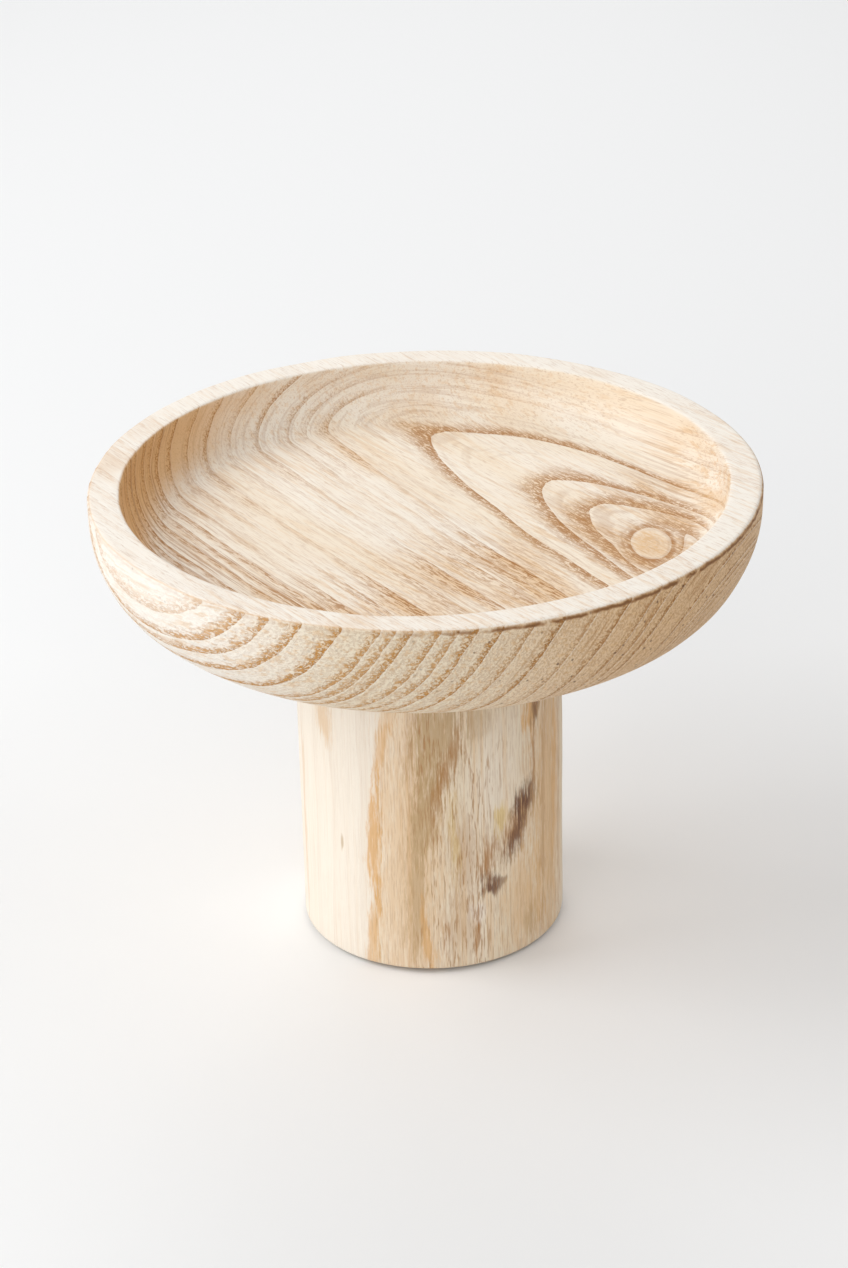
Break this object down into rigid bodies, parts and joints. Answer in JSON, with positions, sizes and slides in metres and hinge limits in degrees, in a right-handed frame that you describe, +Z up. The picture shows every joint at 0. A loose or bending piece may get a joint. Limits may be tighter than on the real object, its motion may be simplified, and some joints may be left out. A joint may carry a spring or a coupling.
{
  "type": "cake stand",
  "caption": "Turned pale wooden cake stand: a shallow thick-walled round dish with a flat floor on a plain round column.",
  "frame": {"origin": "centre of the footprint on the table, under the turning axis", "axes": "+Z up along the turning axis; +X to the right in the front view; -Y towards the viewer"},
  "size_m": [0.3, 0.3, 0.222],
  "materials": {
    "dish_timber": "bare, fine sanded, open grain",
    "pedestal_timber": "bare, fine sanded, open grain",
    "dowel_timber": "bare hardwood",
    "felt": "pressed felt"
  },
  "bodies": {
    "root": {"dish": "dish_timber", "pedestal": "pedestal_timber", "dowel_pin_1": "dowel_timber", "dowel_pin_2": "dowel_timber", "dowel_pin_3": "dowel_timber", "dowel_pin_4": "dowel_timber", "felt_pad_1": "felt", "felt_pad_2": "felt", "felt_pad_3": "felt", "felt_pad_4": "felt"}
  },
  "joints": []
}
